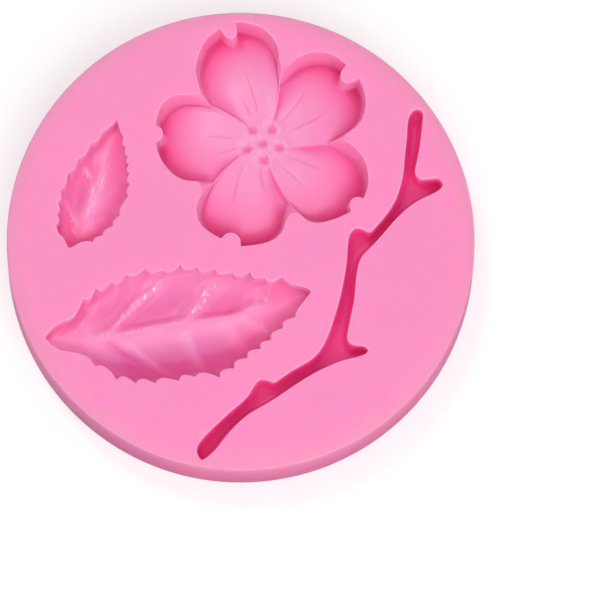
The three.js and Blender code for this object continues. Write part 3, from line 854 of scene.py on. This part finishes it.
def skin_mesh(sizes):
    """The casting's whole surface as one closed mesh, with its tone and gleam as attributes."""
    skin = Skin()
    lands = [
        sink_flower(skin, sizes),
        sink_leaf(skin, "large", LARGE_LEAF, sizes),
        sink_leaf(skin, "small", SMALL_LEAF, sizes),
        sink_branch(skin, sizes),
    ]
    cavities = skin.count
    close_body(skin, lands, sizes)
    points = np.vstack(skin.points)
    on_face = np.arange(len(points)) < cavities
    on_face |= points[:, 2] > -1e-9
    points[on_face, 2] -= face_drop(points[on_face], sizes)
    points[:, 2] += TOP

    mesh = bpy.data.meshes.new("silicone_mold")
    mesh.from_pydata(points.tolist(), [], skin.faces)
    # hollow holds the tone of painted light and shade, and gleam the painted glints and the painted shade
    for name, values in (("hollow", skin.tones), ("gleam", skin.gleams)):
        layer = mesh.attributes.new(name, "FLOAT", "POINT")
        layer.data.foreach_set("value", np.concatenate(values).astype(np.float32))
    work = bmesh.new()
    work.from_mesh(mesh)
    # The patches share the points of their borders, and merging those closes the skin.
    bmesh.ops.remove_doubles(work, verts=work.verts, dist=2e-6)
    bmesh.ops.dissolve_degenerate(work, edges=work.edges, dist=1e-7)
    for face in work.faces:
        face.smooth = True
    open_edges = [edge for edge in work.edges if not edge.is_manifold]
    if open_edges:
        raise RuntimeError(f"the casting has {len(open_edges)} open edges")
    work.to_mesh(mesh)
    work.free()
    return mesh


# Node trees
def feed(tree, socket, value):
    """Links a socket to another one, or sets its value."""
    if isinstance(value, bpy.types.NodeSocket):
        tree.links.new(value, socket)
    else:
        socket.default_value = value


def add_node(tree, kind, **inputs):
    """A new node to the right of the others, with its inputs by name."""
    node = tree.nodes.new(kind)
    node.location = (200 * len(tree.nodes), 0)
    for name, value in inputs.items():
        feed(tree, node.inputs[name.replace("_", " ")], value)
    return node


def maths(tree, operation, *values, kind="ShaderNodeMath", output="Value"):
    """The result of a Math node, or of a Vector Math node."""
    node = add_node(tree, kind)
    node.operation = operation
    for socket, value in zip(node.inputs, values):
        feed(tree, socket, value)
    return node.outputs[output]


def stamen_tree():
    """Pits in a ring and one in its middle, pressed into the surface below them."""
    span = 2.0  # how far a bowl reaches, in radii of a pit
    level_value = 0.8  # value of the bowl's curve where the surface stays as it is
    upper_share = 0.75  # share of the height above which points are pressed, so that the underside stays flat
    tone_gain = 1.3  # how much painted shade a pit gets, and how much painted light the raised rim round it gets
    tree = bpy.data.node_groups.new("stamen_pits", "GeometryNodeTree")
    tree.is_modifier = True
    sockets = tree.interface
    sockets.new_socket("Geometry", in_out="OUTPUT", socket_type="NodeSocketGeometry")
    for name, kind in (("Geometry", "Geometry"), ("Centre", "Vector"), ("Count", "Int"), ("Ring", "Float"),
                       ("Start", "Float"), ("Radius", "Float"), ("Depth", "Float"), ("Material", "Material")):
        sockets.new_socket(name, in_out="INPUT", socket_type=f"NodeSocket{kind}")
    given = add_node(tree, "NodeGroupInput").outputs

    circle = add_node(tree, "GeometryNodeMeshCircle", Vertices=given["Count"], Radius=given["Ring"])
    middle = add_node(tree, "GeometryNodeMeshLine", Count=1)
    pits = add_node(tree, "GeometryNodeJoinGeometry")
    for part in (circle, middle):
        tree.links.new(part.outputs[0], pits.inputs[0])
    turn = add_node(tree, "ShaderNodeCombineXYZ", Z=given["Start"])
    placed = add_node(tree, "GeometryNodeTransform", Geometry=pits.outputs[0], Translation=given["Centre"],
                      Rotation=turn.outputs[0])

    position = add_node(tree, "GeometryNodeInputPosition").outputs[0]
    here = add_node(tree, "ShaderNodeSeparateXYZ", Vector=position).outputs
    level = add_node(tree, "ShaderNodeSeparateXYZ", Vector=given["Centre"]).outputs["Z"]
    flat = add_node(tree, "ShaderNodeCombineXYZ", X=here["X"], Y=here["Y"], Z=level)
    near = add_node(tree, "GeometryNodeProximity", Sample_Position=flat.outputs[0])
    near.target_element = "POINTS"
    tree.links.new(placed.outputs[0], near.inputs[0])
    share = maths(tree, "DIVIDE", near.outputs["Distance"], given["Radius"])
    bowl = add_node(tree, "ShaderNodeFloatCurve", Value=maths(tree, "DIVIDE", share, span))
    curve = bowl.mapping.curves[0]
    curve.points[0].location = (0.0, 0.0)
    curve.points[1].location = (1.0, level_value)
    for x, y in ((0.18, 0.14), (0.34, 0.6), (0.48, 0.93), (0.62, 1.0), (0.8, 0.9)):
        curve.points.new(x, y)
    bowl.mapping.update()

    press = maths(tree, "MULTIPLY", maths(tree, "SUBTRACT", bowl.outputs[0], level_value), given["Depth"])
    close = maths(tree, "LESS_THAN", share, span)
    above = maths(tree, "GREATER_THAN", here["Z"], maths(tree, "MULTIPLY", level, upper_share))
    picked = maths(tree, "MULTIPLY", close, above)
    move = add_node(tree, "ShaderNodeCombineXYZ", Z=press)
    moved = add_node(tree, "GeometryNodeSetPosition", Geometry=given["Geometry"], Selection=picked,
                     Offset=move.outputs[0])
    tone = add_node(tree, "GeometryNodeInputNamedAttribute", Name="hollow")
    tone.data_type = "FLOAT"
    # The pits get painted shade, and the raised rims round them painted light.
    sunk = maths(tree, "MULTIPLY", maths(tree, "SUBTRACT", level_value, bowl.outputs[0]), tone_gain)
    kept = add_node(tree, "GeometryNodeStoreNamedAttribute", Geometry=moved.outputs[0], Selection=picked,
                    Name="hollow")
    kept.data_type = "FLOAT"
    kept.domain = "POINT"
    feed(tree, kept.inputs["Value"], maths(tree, "ADD", tone.outputs["Attribute"], sunk))
    real = add_node(tree, "GeometryNodeRealizeInstances", Geometry=kept.outputs[0])
    painted = add_node(tree, "GeometryNodeSetMaterial", Geometry=real.outputs[0], Material=given["Material"])
    add_node(tree, "NodeGroupOutput", Geometry=painted.outputs[0])
    return tree


def through_tree(piece, tree, **inputs):
    """Runs a piece through a node tree and leaves it as a plain mesh."""
    modifier = piece.modifiers.new("stamen_pits", "NODES")
    modifier.node_group = tree
    names = {item.name: item.identifier for item in tree.interface.items_tree if item.in_out == "INPUT"}
    for name, value in inputs.items():
        modifier[names[name]] = value
    bpy.context.view_layer.update()
    ready = piece.evaluated_get(bpy.context.evaluated_depsgraph_get())
    mesh = bpy.data.meshes.new_from_object(ready, preserve_all_data_layers=True,
                                           depsgraph=bpy.context.evaluated_depsgraph_get())
    piece.modifiers.clear()
    old, piece.data = piece.data, mesh
    bpy.data.meshes.remove(old)
    mesh.name = piece.name


# Finish
def attribute(tree, name):
    """A value that the mesh holds at its points."""
    node = add_node(tree, "ShaderNodeAttribute")
    node.attribute_name = name
    return node.outputs["Fac"]


def silicone_material(sizes, colours):
    """Soft satin silicone with painted shade and sheen on the rim, painted highlights on the lips, painted
    shade in the cavities, a painted glow in the channel, painted glints and a few specks.
    """
    material = bpy.data.materials.new("soft_pink_silicone")
    material.use_nodes = True
    tree = material.node_tree
    shader = tree.nodes["Principled BSDF"]
    for name, value in (("IOR", 1.41), ("Subsurface Weight", 0.9), ("Subsurface Radius", (1.4, 0.14, 0.22)),
                        ("Subsurface Scale", 0.002)):
        shader.inputs[name].default_value = value
    where = add_node(tree, "ShaderNodeTexCoord").outputs["Object"]
    height = add_node(tree, "ShaderNodeSeparateXYZ", Vector=where).outputs["Z"]
    tone = attribute(tree, "hollow")
    gleam = attribute(tree, "gleam")

    def noise_of(scale, detail, roughness=0.5, place=where):
        """Irregular values from 0 to 1, with so many waves to the metre."""
        return add_node(tree, "ShaderNodeTexNoise", Vector=place, Scale=scale, Detail=detail,
                        Roughness=roughness).outputs["Fac"]

    def ranged(value, low=0.0, high=1.0, first=0.0, last=1.0, kind="LINEAR"):
        """A value from low to high, stretched to run from first to last."""
        node = add_node(tree, "ShaderNodeMapRange", Value=value, From_Min=low, From_Max=high, To_Min=first,
                        To_Max=last)
        node.interpolation_type = kind
        return node.outputs[0]

    def blend(factor, below, colour, kind="MIX"):
        """A colour laid over what is below it, as far as the factor says."""
        first_colour, second_colour, mixed_colour = 6, 7, 2
        node = add_node(tree, "ShaderNodeMix", Factor=factor)
        node.data_type = "RGBA"
        node.blend_type = kind
        feed(tree, node.inputs[first_colour], below)
        feed(tree, node.inputs[second_colour], (*colour, 1))
        return node.outputs[mixed_colour]

    # Cloudy silicone, with painted shade and sheen towards the rim of the face
    paint = blend(noise_of(scale=45.0, detail=3.0), (*colours.silicone, 1), colours.silicone_pale)
    flat = maths(tree, "MULTIPLY", where, (1, 1, 0), kind="ShaderNodeVectorMath", output="Vector")
    from_axis = maths(tree, "LENGTH", flat, kind="ShaderNodeVectorMath")
    rim = ranged(from_axis, sizes.face_radius - sizes.rim_band, sizes.face_radius, last=0.8,
                 kind="SMOOTHSTEP")
    high = ranged(height, low=TOP - 1.4 * MM, high=TOP - 0.7 * MM)
    paint = blend(maths(tree, "MULTIPLY", rim, high), paint, colours.painted_rim_shade_and_sheen)

    # Painted highlights on the lips, painted shade in the cavities, a painted glow in the channel and painted
    # shade in the leaves
    paint = blend(maths(tree, "MULTIPLY", tone, -0.7), paint, colours.painted_highlight)
    paint = blend(tone, paint, colours.painted_deep_shade)
    paint = blend(maths(tree, "SUBTRACT", tone, 1.0), paint, colours.painted_channel_glow)
    paint = blend(maths(tree, "MULTIPLY", gleam, -1.0), paint, colours.silicone_shade, "MULTIPLY")

    # Painted glints, drawn out along the crests, and a few dark specks
    drawn = add_node(tree, "ShaderNodeMapping", Vector=where, Rotation=(0, 0, math.radians(30)),
                     Scale=(1.0, 0.4, 1.0))
    grain = ranged(noise_of(scale=2300.0, detail=1.0, place=drawn.outputs[0]), low=0.57, high=0.67)
    paint = blend(maths(tree, "MULTIPLY", grain, gleam), paint, colours.painted_glint)
    cells = add_node(tree, "ShaderNodeTexVoronoi", Vector=where, Scale=210.0).outputs
    dot = maths(tree, "LESS_THAN", cells["Distance"], 0.045)
    lot = add_node(tree, "ShaderNodeSeparateXYZ", Vector=cells["Color"]).outputs["X"]
    rare = maths(tree, "GREATER_THAN", lot, 0.88)
    specks = maths(tree, "MULTIPLY", maths(tree, "MULTIPLY", dot, rare), 0.7)
    tree.links.new(blend(specks, paint, colours.speck), shader.inputs["Base Color"])

    # A satin surface, smoother in the cavities and shiny on the crests
    rough = ranged(noise_of(scale=160.0, detail=4.0), first=0.42, last=0.6)
    sunk = ranged(height, low=TOP - 1.2 * MM, high=TOP - 0.8 * MM, first=0.6)
    satin = add_node(tree, "ShaderNodeMix", Factor=gleam, A=maths(tree, "MULTIPLY", rough, sunk), B=0.17)
    tree.links.new(satin.outputs["Result"], shader.inputs["Roughness"])
    grit = noise_of(scale=1800.0, detail=3.0, roughness=0.6)
    fine = add_node(tree, "ShaderNodeBump", Height=grit, Strength=0.12, Distance=0.08 * MM)
    swell = noise_of(scale=140.0, detail=2.0)
    wavy = add_node(tree, "ShaderNodeBump", Height=swell, Strength=0.15, Distance=0.8 * MM,
                    Normal=fine.outputs[0])
    tree.links.new(wavy.outputs[0], shader.inputs["Normal"])
    return material


def seen(tree):
    """1 for a ray that shows in the picture and 0 for one that only lights the mold."""
    rays = add_node(tree, "ShaderNodeLightPath").outputs
    return maths(tree, "MAXIMUM", rays["Is Camera Ray"], rays["Is Transmission Ray"])


def floor_material(colours):
    """A matt floor. The camera sees it paler than it lights the mold, and its shadow stays."""
    material = bpy.data.materials.new("pale_floor")
    material.use_nodes = True
    tree = material.node_tree
    shader = tree.nodes["Principled BSDF"]
    shader.inputs["Base Color"].default_value = (*colours.floor, 1)
    shader.inputs["Roughness"].default_value = 0.9
    shader.inputs["Emission Color"].default_value = (1, 1, 1, 1)
    tree.links.new(maths(tree, "MULTIPLY", seen(tree), FLOOR_GLOW), shader.inputs["Emission Strength"])
    return material


# Operators
class MOLD_OT_casting(bpy.types.Operator):
    """Build the casting with its four cavities"""
    bl_idname = "mold.casting"
    bl_label = "Casting"

    def execute(self, context):
        sizes = context.scene.mold_sizes
        piece = bpy.data.objects.new("silicone_mold", skin_mesh(sizes))
        context.scene.collection.objects.link(piece)
        material = silicone_material(sizes, context.scene.mold_colours)
        x, y = FLOWER_CENTRE
        heart = (x * MM, y * MM + sizes.heart_shift, TOP - sizes.heart_depth)
        through_tree(
            piece, stamen_tree(), Centre=heart, Count=sizes.stamen_count, Ring=sizes.stamen_ring,
            Start=sizes.stamen_start, Radius=sizes.stamen_radius, Depth=sizes.stamen_depth, Material=material)
        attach(piece, "root")
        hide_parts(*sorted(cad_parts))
        return {"FINISHED"}


class MOLD_OT_stage(bpy.types.Operator):
    """Set up the floor, the light and the camera"""
    bl_idname = "mold.stage"
    bl_label = "Stage"

    def execute(self, context):
        scene = context.scene
        scene.view_settings.view_transform = "Standard"
        mesh = bpy.data.meshes.new("floor")
        signs = ((-1, -1), (1, -1), (1, 1), (-1, 1))
        mesh.from_pydata([(x * FLOOR_HALF, y * FLOOR_HALF, -FLOOR_GAP) for x, y in signs], [], [(0, 1, 2, 3)])
        floor = bpy.data.objects.new("floor", mesh)
        mesh.materials.append(floor_material(scene.mold_colours))
        scene.collection.objects.link(floor)

        world = bpy.data.worlds.new("studio")
        scene.world = world
        world.use_nodes = True
        tree = world.node_tree
        sky = tree.nodes["Background"]
        sky.inputs["Color"].default_value = (1, 1, 1, 1)
        white = maths(tree, "MULTIPLY", seen(tree), 1 - SKY_LIGHT)
        tree.links.new(maths(tree, "ADD", SKY_LIGHT, white), sky.inputs["Strength"])

        self.lamp(scene, "key", azimuth=20, elevation=49, distance=0.9, size=0.8, power=3.9)
        self.lamp(scene, "glint", azimuth=211, elevation=64, distance=0.8, size=0.12, power=0.9)
        self.camera(scene)
        return {"FINISHED"}

    def lamp(self, scene, name, azimuth, elevation, distance, size, power):
        """A soft lamp. Its azimuth is from -Y, anticlockwise seen from above."""
        light = bpy.data.lights.new(name, "AREA")
        light.shape = "DISK"
        light.size = size
        light.energy = power
        lamp = bpy.data.objects.new(name, light)
        a, e = math.radians(azimuth), math.radians(elevation)
        back = Vector((math.sin(a) * math.cos(e), -math.cos(a) * math.cos(e), math.sin(e)))
        lamp.location = Vector((0, 0, TOP)) + back * distance
        lamp.rotation_mode = "QUATERNION"
        lamp.rotation_quaternion = (-back).to_track_quat("-Z", "Y")
        scene.collection.objects.link(lamp)

    def camera(self, scene):
        """A long lens that looks down at the face, with the far side of the mold upwards."""
        data = bpy.data.cameras.new("camera")
        data.sensor_width = CAMERA_SENSOR
        data.lens = CAMERA_LENS
        data.clip_start, data.clip_end = 0.05, 20
        camera = bpy.data.objects.new("camera", data)
        e = math.radians(CAMERA_ELEVATION)
        place = Vector((0, -CAMERA_DISTANCE * math.cos(e), TOP + CAMERA_DISTANCE * math.sin(e)))
        back = (place - Vector((*CAMERA_TARGET, TOP))).normalized()
        right = (Vector((1, 0, 0)) - back * back.x).normalized()
        up = back.cross(right)
        camera.matrix_world = Matrix.Translation(place) @ Matrix((right, up, back)).transposed().to_4x4()
        scene.collection.objects.link(camera)
        scene.camera = camera


class MOLD_PT_panel(bpy.types.Panel):
    """Steps and sizes of the mold"""
    bl_idname = "MOLD_PT_panel"
    bl_label = "Silicone mold"
    bl_space_type = "VIEW_3D"
    bl_region_type = "UI"
    bl_category = "Mold"

    def draw(self, context):
        layout = self.layout
        for operator in (MOLD_OT_casting, MOLD_OT_stage):
            layout.operator(operator.bl_idname)
        for group in (context.scene.mold_sizes, context.scene.mold_colours):
            for name in group.__annotations__:
                layout.prop(group, name)


CLASSES = (MoldSizes, MoldColours, MOLD_OT_casting, MOLD_OT_stage, MOLD_PT_panel)


def register():
    for item in CLASSES:
        bpy.utils.register_class(item)
    bpy.types.Scene.mold_sizes = PointerProperty(type=MoldSizes)
    bpy.types.Scene.mold_colours = PointerProperty(type=MoldColours)


def unregister():
    del bpy.types.Scene.mold_sizes
    del bpy.types.Scene.mold_colours
    for item in reversed(CLASSES):
        bpy.utils.unregister_class(item)


def main():
    register()
    bpy.ops.mold.casting()
    bpy.ops.mold.stage()


if __name__ == "__main__":
    main()
